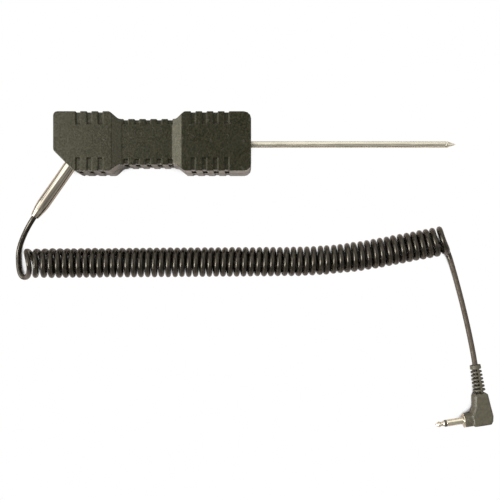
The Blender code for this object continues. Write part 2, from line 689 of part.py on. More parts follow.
def sleeve_parts():
    """The tapered metal sleeve, its inner flange, and the crimp that keeps the cord from pulling out."""
    outwards = frame(SLEEVE_EXIT, sleeve_axis())
    bore = CORD_RADIUS + GAP
    mouth = SLEEVE_OUT - SLEEVE_RIM
    profile = [(SLEEVE_OUT, (SLEEVE_MOUTH + bore) / 2), (mouth, SLEEVE_MOUTH)]
    for step in range(1, SLEEVE_TAPER_STEPS + 1):
        share = step / SLEEVE_TAPER_STEPS
        swell = math.sin(math.radians(90) * share)
        radius = SLEEVE_MOUTH + (SLEEVE_RADIUS - SLEEVE_MOUTH) * swell
        profile.append((mouth - (SLEEVE_TAPER - SLEEVE_RIM) * share, radius))
    back = -SLEEVE_IN
    front = back + SLEEVE_FLANGE
    profile += [(front, SLEEVE_RADIUS), (front, SLEEVE_RADIUS + FLANGE_STEP)]
    profile += [(back, SLEEVE_RADIUS + FLANGE_STEP), (back, bore), (SLEEVE_OUT, bore)]
    turned("strain_sleeve", profile, outwards, "stainless", steps=24)
    start, end = back - GAP, back - GAP - CRIMP_LENGTH
    crimp = [(start, CRIMP_RADIUS), (end, CRIMP_RADIUS), (end, CORD_RADIUS + FIT), (start, CORD_RADIUS + FIT)]
    turned("cord_crimp", crimp, outwards, "brass", steps=12)


def hermite(start, start_pull, end, end_pull, count):
    """Points on the cubic from start to end that leaves along start_pull and arrives along end_pull."""
    points = []
    for step in range(count + 1):
        t = step / count
        points.append(start * (2 * t**3 - 3 * t**2 + 1) + start_pull * (t**3 - 2 * t**2 + t)
                      + end * (3 * t**2 - 2 * t**3) + end_pull * (t**3 - t**2))
    return points


def heading(angle):
    return Vector((math.cos(angle), math.sin(angle), 0))


def coil_axis(distance):
    """(point, direction) on the coil's axis: straight, then bent through an arc, then straight."""
    bend = min(max(distance - COIL_STRAIGHT, 0) / BEND_RADIUS, BEND_ANGLE)
    beyond = max(distance - COIL_STRAIGHT - BEND_RADIUS * BEND_ANGLE, 0)
    direction = heading(COIL_HEADING + bend)
    before, after = heading(COIL_HEADING - math.pi / 2), heading(COIL_HEADING + bend - math.pi / 2)
    straight = heading(COIL_HEADING) * min(distance, COIL_STRAIGHT)
    return COIL_START + straight + (after - before) * BEND_RADIUS + direction * beyond, direction


def coil_lean(turns):
    """How far a turn leans along the coil's axis; the turns at both ends lean more."""
    at_start = START_LEAN * math.exp(-turns / START_LEAN_TURNS)
    return LEAN + at_start + END_LEAN * math.exp((turns - COIL_TURNS) / END_LEAN_TURNS)


def coil_tip(turns):
    """How far the top of a turn is tipped along the coil's axis."""
    at_end = END_TIP * math.exp((turns - COIL_TURNS) / END_TIP_TURNS)
    return START_TIP * math.exp(-turns / START_TIP_TURNS) - at_end


def coil_point(turns):
    """The cord's centre line after this many turns. It starts at the coil's +Y side and goes down."""
    last = max(turns - (COIL_TURNS - 1), 0)
    loosened = LOOSENING * LOOSE_TURNS * (1 - math.exp(-turns / LOOSE_TURNS)) + LAST_TURN_LOOSENING * last
    angle = -2 * math.pi * turns
    along = COIL_PITCH * (turns + loosened) - coil_lean(turns) * math.cos(angle)
    along += coil_tip(turns) * max(math.sin(angle), 0) ** 2
    along += LAST_TURN_SWAY * math.sin(math.pi * last) ** 2
    centre, direction = coil_axis(along)
    side = Vector((-direction.y, direction.x, 0))
    return centre + side * (COIL_RADIUS * math.cos(angle)) + Vector((0, 0, COIL_RADIUS * math.sin(angle)))


def coil_tangent(turns):
    return (coil_point(turns + 0.001) - coil_point(turns - 0.001)).normalized()


def lead_in_path(count):
    """From the sleeve's mouth down to the bench, arriving along -Y."""
    mouth = SLEEVE_EXIT + sleeve_axis() * SLEEVE_OUT
    arrive = Vector((0, -LEAD_IN_PULL, 0))
    return hermite(mouth, sleeve_axis() * SLEEVE_PULL, LEAD_IN_LOW, arrive, count)


def entry_loop_path():
    """The first turn: from the bench round under the -Y side and over the top to the coil's start."""
    leave, down = Vector((0, -LOOP_PULL, 0)), coil_tangent(0) * FIRST_TURN_PULL
    loop = hermite(LEAD_IN_LOW, leave, LOOP_BOTTOM, LOOP_BOTTOM_PULL, 6)[:-1]
    loop += hermite(LOOP_BOTTOM, LOOP_BOTTOM_PULL, LOOP_TOP, LOOP_TOP_PULL, 6)[:-1]
    return loop + hermite(LOOP_TOP, LOOP_TOP_PULL, coil_point(-END_GAP - END_STUB), down, 4)


def tail_direction():
    """The way the cord heads where it touches the bench after the coil."""
    return heading(TAIL_HEADING - math.pi / 2)


def tail_exit_path():
    """From the coil's last top point down its back to the bench."""
    start, down = coil_point(COIL_TURNS), coil_tangent(COIL_TURNS) * LAST_TURN_PULL
    return hermite(start, down, TAIL_TOUCHDOWN, tail_direction() * TOUCHDOWN_PULL, 7)


def plug_matrix():
    """The plug's frame: X along the pin to its tip, Y towards the handle end of the tail, Z up."""
    pin = Vector((-math.cos(PLUG_TURN), -math.sin(PLUG_TURN), 0))
    boot = Vector((-math.sin(PLUG_TURN), math.cos(PLUG_TURN), 0))
    axes = Matrix((pin, boot, pin.cross(boot))).transposed().to_4x4()
    return Matrix.Translation(PLUG_ORIGIN) @ axes


def tail_path(count):
    """From where the cord touches the bench to the boot's mouth."""
    place = plug_matrix()
    mouth = place @ Vector((0, BODY_TOP + BOOT_LENGTH, 0))
    into = (PLUG_ORIGIN - mouth).normalized()
    return hermite(TAIL_TOUCHDOWN, tail_direction() * TAIL_PULL, mouth, into * TAIL_PULL, count)


def apart(points):
    """The points with the first one moved along by the gap, so that two runs of cord don't touch."""
    return [points[0] + (points[1] - points[0]).normalized() * GAP] + list(points[1:])


def cord_parts():
    lead_in = lead_in_path(LEAD_IN_STEPS)
    inner_end = SLEEVE_EXIT - sleeve_axis() * (SLEEVE_IN + CORD_ROOT)
    cord("cord_root", [inner_end] + lead_in[: BEND_START + 1])
    cord("cord_bend", apart(lead_in[BEND_START : BEND_END + 1]))
    cord("cord_lead_in", apart(lead_in[BEND_END:]))
    cord("cord_entry_loop", apart(entry_loop_path()) + [coil_point(-END_GAP)])
    last_turn = COIL_TURNS - 1
    near, stub = END_GAP, END_GAP + END_STUB
    coil = [coil_point(near), coil_point(stub)]
    coil += [coil_point(step / COIL_STEPS) for step in range(1, last_turn * COIL_STEPS)]
    coil += [coil_point(last_turn - stub), coil_point(last_turn - near)]
    cord("cord_coil", coil)
    tail = tail_path(TAIL_STEPS)
    turn = [coil_point(last_turn + near), coil_point(last_turn + stub)]
    turn += [coil_point(last_turn + step / COIL_STEPS) for step in range(1, COIL_STEPS)]
    cord("cord_end_turn", turn + tail_exit_path()[:-1] + tail[: TAIL_BEND_START + 1])
    cord("cord_tail_bend", apart(tail[TAIL_BEND_START : TAIL_BEND_END + 1]))
    cord("cord_tail", apart(tail[TAIL_BEND_END : STUB_START + 1]))
    inside_plug = plug_matrix() @ Vector((0, JACKET_END, 0))
    cord("cord_stub", apart(tail[STUB_START:]) + [inside_plug])


def cord(name, points):
    return wire(name, points, CORD_RADIUS, "cord_vinyl")


def conductors():
    """The two insulated conductors from the cord's inner end to the joint board."""
    end = SLEEVE_EXIT - sleeve_axis() * (SLEEVE_IN + CORD_ROOT + GAP)
    across = Vector((-sleeve_axis().y, sleeve_axis().x, 0))
    board_back = BOARD_FRONT - BOARD_LENGTH
    for name, side, colour in (("a", 1, "red_insulation"), ("b", -1, "white_insulation")):
        start = end + across * (-side * 0.6 * MM)
        level = BOARD_TOP + LEAD_RADIUS + GAP
        turn_in = Vector((-58 * MM, (1.6 + side) * MM, AXIS_Z))
        arrive = Vector((board_back - 3 * MM, side * WIRE_Y, level))
        stop = Vector((board_back + 1.2 * MM, side * WIRE_Y, level))
        path = hermite(start, -sleeve_axis() * 6 * MM, turn_in, Vector((8 * MM, 0, 0)), 5)[:-1]
        path += hermite(turn_in, Vector((8 * MM, 0, 0)), arrive, Vector((8 * MM, 0, 0)), 4) + [stop]
        wire(f"conductor_{name}", path, LEAD_RADIUS, colour)


# ---------------------------------------------------------------- plug

def plug_body(place):
    """The right-angled moulding: a tapered block with a barrel, bored for the pin and the cord."""
    outline = [Vector(p) * MM for p in BODY_OUTLINE]
    body = plate("plug_body", outline, 2 * PLUG_ORIGIN.z, place)
    body.data.materials.append(material("plug_vinyl"))
    chamfer = body.modifiers.new("facets", "BEVEL")
    chamfer.width = FACET
    chamfer.segments = 1
    chamfer.limit_method = "ANGLE"
    chamfer.angle_limit = math.radians(60)
    join(body, rod("barrel", BARREL_RADIUS, place @ Vector((0, 0, 0)),
                   place @ Vector((BARREL_END, 0, 0)), segments=24))
    cut(body, rod("pin_bore", PIN_BORE_RADIUS, place @ Vector((PIN_BORE_START, 0, 0)),
                  place @ Vector((BARREL_END + MM, 0, 0)), segments=16))
    cut(body, rod("cord_bore", CORD_BORE_RADIUS, place @ Vector((0, 0, 0)),
                  place @ Vector((0, BODY_TOP + MM, 0)), segments=16))
    return body


def plug_pin(place):
    """The pin's three coaxial pieces: flanged sleeve, insulator and tip rod."""
    flange = BARREL_END + GAP
    tip_end = flange + FLANGE_THICKNESS + PIN_LENGTH
    ring = tip_end - PIN_TIP
    face = flange + FLANGE_THICKNESS
    shank = [(ring - FIT, PIN_RADIUS), (face, PIN_RADIUS), (face, BARREL_RADIUS), (flange, BARREL_RADIUS)]
    shank += [(flange, SHANK_RADIUS), (SHANK_END, SHANK_RADIUS)]
    shank += [(SHANK_END, INSULATOR_RADIUS + FIT), (ring - FIT, INSULATOR_RADIUS + FIT)]
    turned("plug_sleeve", shank, place, "nickel", steps=20)
    rod_hole = TIP_ROD_RADIUS + FIT
    insulator = [(ring + RING_WIDTH, PIN_RADIUS), (ring, PIN_RADIUS), (ring, INSULATOR_RADIUS)]
    insulator += [(INSULATOR_END, INSULATOR_RADIUS), (INSULATOR_END, rod_hole), (ring + RING_WIDTH, rod_hole)]
    turned("plug_insulator", insulator, place, "black_resin", steps=20)
    head = ring + RING_WIDTH + FIT
    tip = [(tip_end, 0), (tip_end - 0.2 * MM, 0.7 * MM), (tip_end - 1.9 * MM, 1.7 * MM)]
    tip += [(tip_end - 2.2 * MM, 1.7 * MM), (tip_end - 3.2 * MM, 1.15 * MM), (head + 0.8 * MM, 1.25 * MM)]
    tip += [(head + 0.3 * MM, 1.6 * MM), (head, 1.6 * MM), (head, TIP_ROD_RADIUS)]
    tip += [(TIP_ROD_END, TIP_ROD_RADIUS), (TIP_ROD_END, 0)]
    solid_turned("plug_tip", tip, place, "nickel", steps=20)


def boot_radius(distance):
    """The boot's outer radius at a distance along the boot's axis; it tapers away from the body."""
    share = (distance - BODY_TOP) / BOOT_LENGTH
    return BOOT_ROOT_RADIUS + (BOOT_MOUTH_RADIUS - BOOT_ROOT_RADIUS) * share


def plug_boot(place):
    """The ribbed boot: a tapered tube with slots on both sides of a spine, and a neck at the body."""
    start, end = BODY_TOP + GAP, BODY_TOP + BOOT_LENGTH
    along = place @ Matrix.Rotation(math.radians(90), 4, "Z")
    bore = CORD_RADIUS + GAP
    profile = [(end, boot_radius(end)), (start, boot_radius(start)), (start, bore), (end, bore)]
    boot = turned("plug_boot", profile, along, "plug_vinyl", steps=24)
    rolled = place @ Matrix.Rotation(BOOT_ROLL, 4, "Y")
    reach = 2 * BOOT_ROOT_RADIUS
    for number in range(BOOT_SLOTS):
        low_y = start + BOOT_FIRST_SLOT + number * BOOT_PITCH
        high_y = low_y + BOOT_SLOT_WIDTH
        side = BOOT_SPINE / 2
        cut(boot, box(f"slot_{number}", (side, low_y, -reach), (reach, high_y, reach), place=rolled))
        cut(boot, box(f"far_slot_{number}", (-reach, low_y, -reach), (-side, high_y, reach), place=rolled))
    return boot


def plug_wires(place):
    """The conductors inside the plug: one to the pin's tip rod, one to its sleeve."""
    routes = {
        "plug_wire_a": ((-0.55, 8.6, 0), (-0.5, 3, 0), (0.1, 1, 0), (1, 0.3, 0)),
        "plug_wire_b": ((0.55, 8.6, 0), (0.9, 3, 0), (1.2, 1.9, 0), (2.2, 1.6, 0)),
    }
    for (name, route), colour in zip(routes.items(), ("red_insulation", "white_insulation")):
        wire(name, [place @ (Vector(point) * MM) for point in route], CONDUCTOR_RADIUS, colour)


def plug_parts():
    place = plug_matrix()
    plug_body(place)
    plug_pin(place)
    plug_boot(place)
    plug_wires(place)


# ---------------------------------------------------------------- joints

def hang(child, parent):
    """Parents an object to another without moving it."""
    bpy.context.view_layer.update()
    child.parent = parent
    child.matrix_parent_inverse = parent.matrix_world.inverted()


def pivot(name, point, parent, carried):
    """An empty on a joint's axis, which carries the pieces that move with it."""
    empty = bpy.data.objects.new(name, None)
    PARTS.objects.link(empty)
    empty.empty_display_size = 3 * MM
    empty.location = point
    if parent:
        hang(empty, parent)
    for piece in carried:
        hang(bpy.data.objects[piece], empty)
    return empty


def add_pivots():
    lead_in, tail = lead_in_path(LEAD_IN_STEPS), tail_path(TAIL_STEPS)
    swing_at = lead_in[(BEND_START + BEND_END) // 2]
    tail_at = tail[(TAIL_BEND_START + TAIL_BEND_END) // 2]
    flex_at = plug_matrix() @ Vector((0, BODY_TOP + BOOT_LENGTH / 2, 0))
    swing = pivot("cord_swing", swing_at, None, ("cord_bend", "cord_lead_in"))
    lift = pivot("coil_lift", LEAD_IN_LOW, swing, ("cord_entry_loop", "cord_coil"))
    stretch = pivot("coil_stretch", coil_point(COIL_TURNS - 1), lift, ("cord_end_turn",))
    tail_swing = pivot("tail_swing", tail_at, stretch, ("cord_tail_bend", "cord_tail"))
    plug = ("plug_boot", "plug_body", "plug_sleeve", "plug_insulator", "plug_tip", "plug_wire_a", "plug_wire_b")
    pivot("plug_flex", flex_at, tail_swing, ("cord_stub",) + plug)


grip_shell("upper_shell", True)
grip_shell("lower_shell", False)
screws()
sensor_parts(needle_parts())
board_parts()
sleeve_parts()
cord_parts()
conductors()
plug_parts()
add_pivots()
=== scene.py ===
"""Studio scene of the hand probe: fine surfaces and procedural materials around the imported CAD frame.

Lengths are in metres, in the CAD frame: +X along the needle, +Z up, the probe lying on the floor z = 0.
"""

import json
import math

import bmesh
import bpy
import numpy as np
from mathutils import Matrix, Vector, noise


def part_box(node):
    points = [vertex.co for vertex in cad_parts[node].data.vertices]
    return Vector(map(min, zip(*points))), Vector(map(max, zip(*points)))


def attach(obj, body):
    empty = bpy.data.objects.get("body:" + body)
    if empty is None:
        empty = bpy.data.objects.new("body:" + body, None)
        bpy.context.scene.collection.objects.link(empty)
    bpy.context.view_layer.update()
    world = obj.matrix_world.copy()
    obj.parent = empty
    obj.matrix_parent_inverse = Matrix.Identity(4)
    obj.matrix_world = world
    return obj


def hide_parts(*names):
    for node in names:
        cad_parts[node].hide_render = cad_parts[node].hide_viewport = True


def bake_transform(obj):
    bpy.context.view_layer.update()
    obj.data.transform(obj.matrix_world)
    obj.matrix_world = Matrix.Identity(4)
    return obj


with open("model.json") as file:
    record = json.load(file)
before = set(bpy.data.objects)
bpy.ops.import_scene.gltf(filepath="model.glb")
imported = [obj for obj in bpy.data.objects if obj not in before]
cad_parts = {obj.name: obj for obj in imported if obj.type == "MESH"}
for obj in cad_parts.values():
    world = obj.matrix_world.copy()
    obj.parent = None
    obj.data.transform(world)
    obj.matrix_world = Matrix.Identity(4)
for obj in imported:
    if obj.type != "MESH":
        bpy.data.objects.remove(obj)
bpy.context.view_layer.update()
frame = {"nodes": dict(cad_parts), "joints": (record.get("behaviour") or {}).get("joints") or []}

MM = 0.001
X, Y, Z = Vector((1, 0, 0)), Vector((0, 1, 0)), Vector((0, 0, 1))


# ---------------------------------------------------------------- places taken from the frame

def joint(name):
    return next(found for found in frame["joints"] if found["name"] == name)


TUBE_LOW, TUBE_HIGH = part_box("needle_tube")
AXIS_Z = ((TUBE_LOW + TUBE_HIGH) / 2).z
NEEDLE_RADIUS = (TUBE_HIGH.y - TUBE_LOW.y) / 2
NEEDLE_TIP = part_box("needle_point")[1].x
NEEDLE_TAPER = 4.2 * MM
NEEDLE_BLUNT = 0.12 * MM
NEEDLE_SEAM = 0.08 * MM
NEEDLE_STUB = 2 * MM
CORD_RADIUS = 1.35 * MM
SLEEVE_ANGLE = math.radians(-125)
PLUG_TURN = math.radians(9)


# ---------------------------------------------------------------- materials

# the near-black painted as shade into the grip's and the cord's hollows
PAINTED_SHADE_BLACK = (0.0005, 0.0005, 0.0005)


class Surface:
    """A node material: a Principled shader and short ways to add nodes and links to it."""

    def __init__(self, name, colour, roughness, metallic=0.0):
        self.material = bpy.data.materials.new(name)
        self.material.use_nodes = True
        self.tree = self.material.node_tree
        self.shader = self.tree.nodes["Principled BSDF"]
        self.set("Base Color", (*colour, 1))
        self.set("Roughness", roughness)
        self.set("Metallic", metallic)
        self.place = self.tree.nodes.new("ShaderNodeTexCoord").outputs["Object"]

    def set(self, socket, value):
        self.shader.inputs[socket].default_value = value

    def node(self, kind, inputs, **settings):
        made = self.tree.nodes.new("ShaderNode" + kind)
        for key, value in settings.items():
            setattr(made, key, value)
        for key, value in inputs.items():
            if isinstance(value, bpy.types.NodeSocket):
                self.tree.links.new(value, made.inputs[key])
            else:
                made.inputs[key].default_value = value
        return made

    def link(self, output, socket):
        self.tree.links.new(output, self.shader.inputs[socket])

    def stretched(self, scale, turn=0.0):
        """Object coordinates turned about Z, then scaled per axis, for patterns that run one way."""
        along = self.node("Mapping", {"Vector": self.place, "Rotation": (0, 0, -turn)}).outputs[0]
        return self.node("Mapping", {"Vector": along, "Scale": scale}).outputs[0]

    def noise(self, size, detail=3.0, where=None, roughness=0.5):
        """Noise whose features are about size metres across, from 0 to 1."""
        where = where or self.place
        inputs = {"Vector": where, "Scale": 1 / size, "Detail": detail, "Roughness": roughness}
        return self.node("TexNoise", inputs).outputs["Fac"]

    def mix(self, factor, low, high):
        """A colour between two others, by a factor."""
        made = self.node("Mix", {}, data_type="RGBA")
        for socket, value in ((made.inputs[0], factor), (made.inputs[6], low), (made.inputs[7], high)):
            if isinstance(value, bpy.types.NodeSocket):
                self.tree.links.new(value, socket)
            elif isinstance(value, (int, float)):
                socket.default_value = value
            else:
                socket.default_value = (*value, 1)
        return made.outputs[2]

    def remap(self, value, low, high, to_low, to_high):
        inputs = {"Value": value, "From Min": low, "From Max": high, "To Min": to_low, "To Max": to_high}
        return self.node("MapRange", inputs).outputs[0]

    def math(self, operation, a, b):
        made = self.node("Math", {}, operation=operation)
        for socket, value in zip(made.inputs, (a, b)):
            if isinstance(value, bpy.types.NodeSocket):
                self.tree.links.new(value, socket)
            else:
                socket.default_value = value
        return made.outputs[0]

    def bump(self, height, distance, strength=1.0):
        made = self.node("Bump", {"Height": height, "Distance": distance, "Strength": strength})
        self.link(made.outputs[0], "Normal")

    def hollows(self, reach, low, high, **settings):
        """0 deep in slots and gaps narrower than reach, and 1 in the open: the mask for painted shade."""
        opened = self.node("AmbientOcclusion", {"Distance": reach}, samples=8, **settings).outputs["AO"]
        return self.remap(opened, low, high, 0.0, 1.0)

    def edges(self, low, high):
        """1 on convex edges and 0 on flats, from the mesh's pointiness: the mask for paler edges, part wear
        and part painted highlight.
        """
        point = self.node("NewGeometry", {}).outputs["Pointiness"]
        return self.remap(point, low, high, 0.0, 1.0)


def grip_plastic():
    """Near-black olive moulded plastic: a fine speckled grain and cloudy tone, with paler edges that are
    part wear and part painted highlight, and painted shade in its grooves and slots.
    """
    made = Surface("grip_plastic", (0.012, 0.012, 0.008), 0.2)
    cloud = made.noise(8 * MM, 2.0)
    speck = made.noise(0.6 * MM, 3.0)
    olive = made.mix(made.remap(speck, 0.38, 0.62, 0.0, 1.0), (0.0005, 0.001, 0.0), (0.011, 0.01, 0.004))
    tone = made.mix(made.remap(cloud, 0.4, 0.65, 0.0, 0.4), olive, (0.008, 0.008, 0.005))
    # painted shade: colour and sheen go dark in the grooves and slots
    painted_lit = made.hollows(1.5 * MM, 0.6, 0.95, only_local=True)
    # paler edges: part wear, part painted highlight
    worn_and_highlit = made.mix(made.edges(0.53, 0.6), tone, (0.018, 0.017, 0.014))
    made.link(made.mix(painted_lit, PAINTED_SHADE_BLACK, worn_and_highlit), "Base Color")
    made.link(made.remap(made.noise(1.1 * MM, 3.0), 0.3, 0.7, 0.13, 0.24), "Roughness")
    made.set("Specular Tint", (1.0, 0.97, 0.78, 1))
    shine = made.remap(speck, 0.38, 0.62, 0.38, 0.56)
    made.link(made.math("MULTIPLY", painted_lit, shine), "Specular IOR Level")
    grain = made.noise(0.7 * MM, 3.0, roughness=0.6)
    made.bump(grain, 0.04 * MM, 0.7)
    return made.material


def polished_steel(name, colour, roughness, lines, turn=0.0, contrast=0.75):
    """Bright metal with fine lines; lines gives how the pattern is stretched along each axis."""
    made = Surface(name, colour, roughness, 1.0)
    along = made.stretched(lines, turn)
    streak = made.noise(0.45 * MM, 2.0, where=along)
    smear = made.noise(6 * MM, 2.0)
    darker = tuple(part * contrast for part in colour)
    made.link(made.mix(made.remap(streak, 0.35, 0.65, 0.0, 1.0), darker, colour), "Base Color")
    rough = made.math("ADD", made.remap(streak, 0.3, 0.7, roughness * 0.7, roughness * 1.3),
                      made.remap(smear, 0.4, 0.7, 0.0, 0.08))
    made.link(rough, "Roughness")
    made.bump(streak, 0.012 * MM, 0.3)
    return made.material


def cord_vinyl(name, dark, dusty, roughness):
    """Black extruded vinyl, with faint dust and a sheen that varies along it. Its colour and sheen carry
    painted shade, darkest where turns or slots close over it."""
    made = Surface(name, dark, roughness)
    dust = made.noise(1.6 * MM, 4.0)
    # painted shade: colour and sheen go dark where turns, slots or the boot close over the cord
    painted_lit = made.hollows(3 * MM, 0.2, 0.5)
    skin = made.mix(made.remap(dust, 0.45, 0.7, 0.0, 1.0), dark, dusty)
    made.link(made.mix(painted_lit, PAINTED_SHADE_BLACK, skin), "Base Color")
    made.link(made.remap(painted_lit, 0.0, 1.0, 0.05, 0.45), "Specular IOR Level")
    sheen = made.remap(made.noise(2.2 * MM, 3.0), 0.3, 0.7, roughness * 0.75, roughness * 1.25)
    made.link(sheen, "Roughness")
    made.set("Specular Tint", (1.0, 0.93, 0.8, 1))
    made.bump(made.noise(0.5 * MM, 3.0), 0.03 * MM, 0.4)
    return made.material


def plug_vinyl():
    """Grey-black soft moulding: matt and slightly mottled, with paler edges that are part wear and part
    painted highlight, and painted shade in its slots.
    """
    made = Surface("plug_vinyl", (0.05, 0.045, 0.034), 0.55)
    mottle = made.noise(1.3 * MM, 4.0)
    tone = made.mix(made.remap(mottle, 0.3, 0.7, 0.0, 1.0), (0.024, 0.0235, 0.013), (0.048, 0.041, 0.028))
    # painted shade: colour and sheen go dark in the slots
    hollow = made.node("AmbientOcclusion", {"Distance": 1.2 * MM}, samples=8, only_local=True).outputs["AO"]
    shaded = made.mix(made.remap(hollow, 0.35, 0.85, 0.0, 1.0), (0.002, 0.002, 0.001), tone)
    # paler edges: part wear, part painted highlight
    made.link(made.mix(made.edges(0.52, 0.6), shaded, (0.08, 0.072, 0.06)), "Base Color")
    made.link(made.remap(hollow, 0.4, 0.8, 0.0, 0.5), "Specular IOR Level")
    made.link(made.remap(made.noise(1.2 * MM, 3.0), 0.3, 0.7, 0.45, 0.62), "Roughness")
    made.bump(made.noise(0.3 * MM, 4.0), 0.02 * MM, 0.4)
    return made.material


def tinted(name, low, high, roughness, metallic=0.0, size=1.5 * MM):
    """A plain material for small inner pieces: two tones, a varying sheen and a light bump."""
    made = Surface(name, low, roughness, metallic)
    pattern = made.noise(size, 4.0)
    made.link(made.mix(made.remap(pattern, 0.35, 0.65, 0.0, 1.0), low, high), "Base Color")
    made.link(made.remap(pattern, 0.3, 0.7, roughness * 0.8, roughness * 1.2), "Roughness")
    made.bump(made.noise(size / 4, 3.0), 0.02 * MM, 0.3)
    return made.material


def circuit_board():
    """Green laminate: copper tracks run lengthwise under the mask, and its raised pads are solder."""
    made = Surface("circuit_board", (0.02, 0.1, 0.04), 0.35)
    waves = {"Vector": made.place, "Scale": 180.0, "Distortion": 1.2}
    tracks = made.node("TexWave", waves, bands_direction="Y")
    on_track = made.remap(tracks.outputs["Fac"], 0.75, 0.85, 0.0, 1.0)
    mask = made.mix(on_track, (0.012, 0.075, 0.03), (0.05, 0.16, 0.05))
    height = made.node("SeparateXYZ", {"Vector": made.place}).outputs["Z"]
    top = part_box("joint_board")[1].z
    solder = made.remap(height, top - 0.45 * MM, top - 0.4 * MM, 0.0, 1.0)
    made.link(made.mix(solder, mask, (0.6, 0.6, 0.58)), "Base Color")
    made.link(solder, "Metallic")
    made.bump(tracks.outputs["Fac"], 0.03 * MM, 0.4)
    return made.material


MATERIALS = {
    "grip": grip_plastic(),
    "needle": polished_steel("needle_steel", (0.68, 0.65, 0.55), 0.24, (0.04, 1, 1)),
    "sleeve": polished_steel("sleeve_steel", (0.52, 0.47, 0.4), 0.08, (0.02, 1, 1), SLEEVE_ANGLE, 0.35),
    "nickel": polished_steel("nickel_plate", (0.66, 0.61, 0.5), 0.12, (0.2, 1, 1), PLUG_TURN),
    "screw": polished_steel("zinc_plate", (0.55, 0.55, 0.52), 0.3, (1, 1, 1)),
    "cord": cord_vinyl("cord_vinyl", (0.004, 0.0035, 0.0025), (0.018, 0.014, 0.01), 0.22),
    # the cord's vinyl again, paler and rougher for the tail
    "tail": cord_vinyl("pale_rough_cord_vinyl", (0.028, 0.021, 0.017), (0.04, 0.032, 0.026), 0.62),
    "plug": plug_vinyl(),
    "brass": tinted("turned_brass", (0.62, 0.43, 0.16), (0.78, 0.58, 0.26), 0.28, 1.0),
    "resin": tinted("black_resin", (0.012, 0.012, 0.012), (0.03, 0.03, 0.028), 0.35),
    "epoxy": tinted("potting_epoxy", (0.02, 0.02, 0.022), (0.05, 0.045, 0.04), 0.25),
    "red": tinted("red_insulation", (0.4, 0.02, 0.018), (0.52, 0.05, 0.04), 0.4),
    "white": tinted("white_insulation", (0.68, 0.67, 0.62), (0.8, 0.79, 0.75), 0.4),
    "board": circuit_board(),
}


# ---------------------------------------------------------------- mesh tools

def add(name, mesh, material, smooth_angle=None):
    piece = bpy.data.objects.new(name, mesh)
    bpy.context.scene.collection.objects.link(piece)
    mesh.materials.clear()
    mesh.materials.append(MATERIALS[material])
    mesh.shade_smooth()
    if smooth_angle:
        mesh.set_sharp_from_angle(angle=math.radians(smooth_angle))
    return piece


def evaluated_copy(obj):
    graph = bpy.context.evaluated_depsgraph_get()
    return bpy.data.meshes.new_from_object(obj.evaluated_get(graph), depsgraph=graph)


def softened(node, name, material, voxel, passes, kept=1.0):
    """A finer skin of a CAD node: remeshed evenly, smoothed so that its edges become small fillets,
    then thinned out to the given share of its faces."""
    draft = bpy.data.objects.new("draft", frame["nodes"][node].data.copy())
    bpy.context.scene.collection.objects.link(draft)
    remesh = draft.modifiers.new("remesh", "REMESH")
    remesh.mode = "VOXEL"
    remesh.voxel_size = voxel
    relax = draft.modifiers.new("relax", "SMOOTH")
    relax.factor = 0.5
    relax.iterations = passes
    if kept < 1:
        thin = draft.modifiers.new("thin", "DECIMATE")
        thin.ratio = kept
    bpy.context.view_layer.update()
    mesh = evaluated_copy(draft)
    bpy.data.objects.remove(draft)
    piece = add(name, mesh, material)
    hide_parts(node)
    return piece


def axes_at(point, x_axis, up=Z):
    x = Vector(x_axis).normalized()
    y = Vector(up).cross(x).normalized()
    return Matrix.Translation(point) @ Matrix((x, y, x.cross(y))).transposed().to_4x4()


def rounded_profile(profile, radius, steps=3):
    """A turned profile whose corners are rounded, so that they catch the light."""
    points = [Vector(p) for p in profile]
    result = []
    count = len(points)
    for i, corner in enumerate(points):
        before, after = points[i - 1] - corner, points[(i + 1) % count] - corner
        reach = min(radius, before.length / 2.5, after.length / 2.5)
        if corner.y < 1e-7 or reach < 1e-6:
            result.append(corner)
            continue
        a, b = corner + before.normalized() * reach, corner + after.normalized() * reach
        for step in range(steps + 1):
            t = step / steps
            result.append(a * (1 - t) ** 2 + corner * (2 * t * (1 - t)) + b * t * t)
    return result


def turned(name, profile, place, material, closed=True, segments=48, radius=0.12 * MM):
    """A turned piece about place's X axis. The profile lists (along, radius) pairs round its section."""
    outline = rounded_profile(profile, radius)
    mesh = bpy.data.meshes.new(name)
    shape = bmesh.new()
    rings = []
    for along, distance in outline:
        if distance < 1e-7:
            rings.append([shape.verts.new((along, 0, 0))])
            continue
        ring = []
        for segment in range(segments):
            angle = 2 * math.pi * segment / segments
            ring.append(shape.verts.new((along, distance * math.cos(angle), distance * math.sin(angle))))
        rings.append(ring)
    pairs = list(zip(rings, rings[1:]))
    if closed:
        pairs.append((rings[-1], rings[0]))
    for first, second in pairs:
        for segment in range(segments):
            following = (segment + 1) % segments
            corners = [first[segment % len(first)], first[following % len(first)]]
            corners += [second[following % len(second)], second[segment % len(second)]]
            face = list(dict.fromkeys(corners))
            if len(face) > 2:
                shape.faces.new(face)
    bmesh.ops.recalc_face_normals(shape, faces=shape.faces)
    shape.transform(place)
    shape.to_mesh(mesh)
    shape.free()
    return add(name, mesh, material, 40)


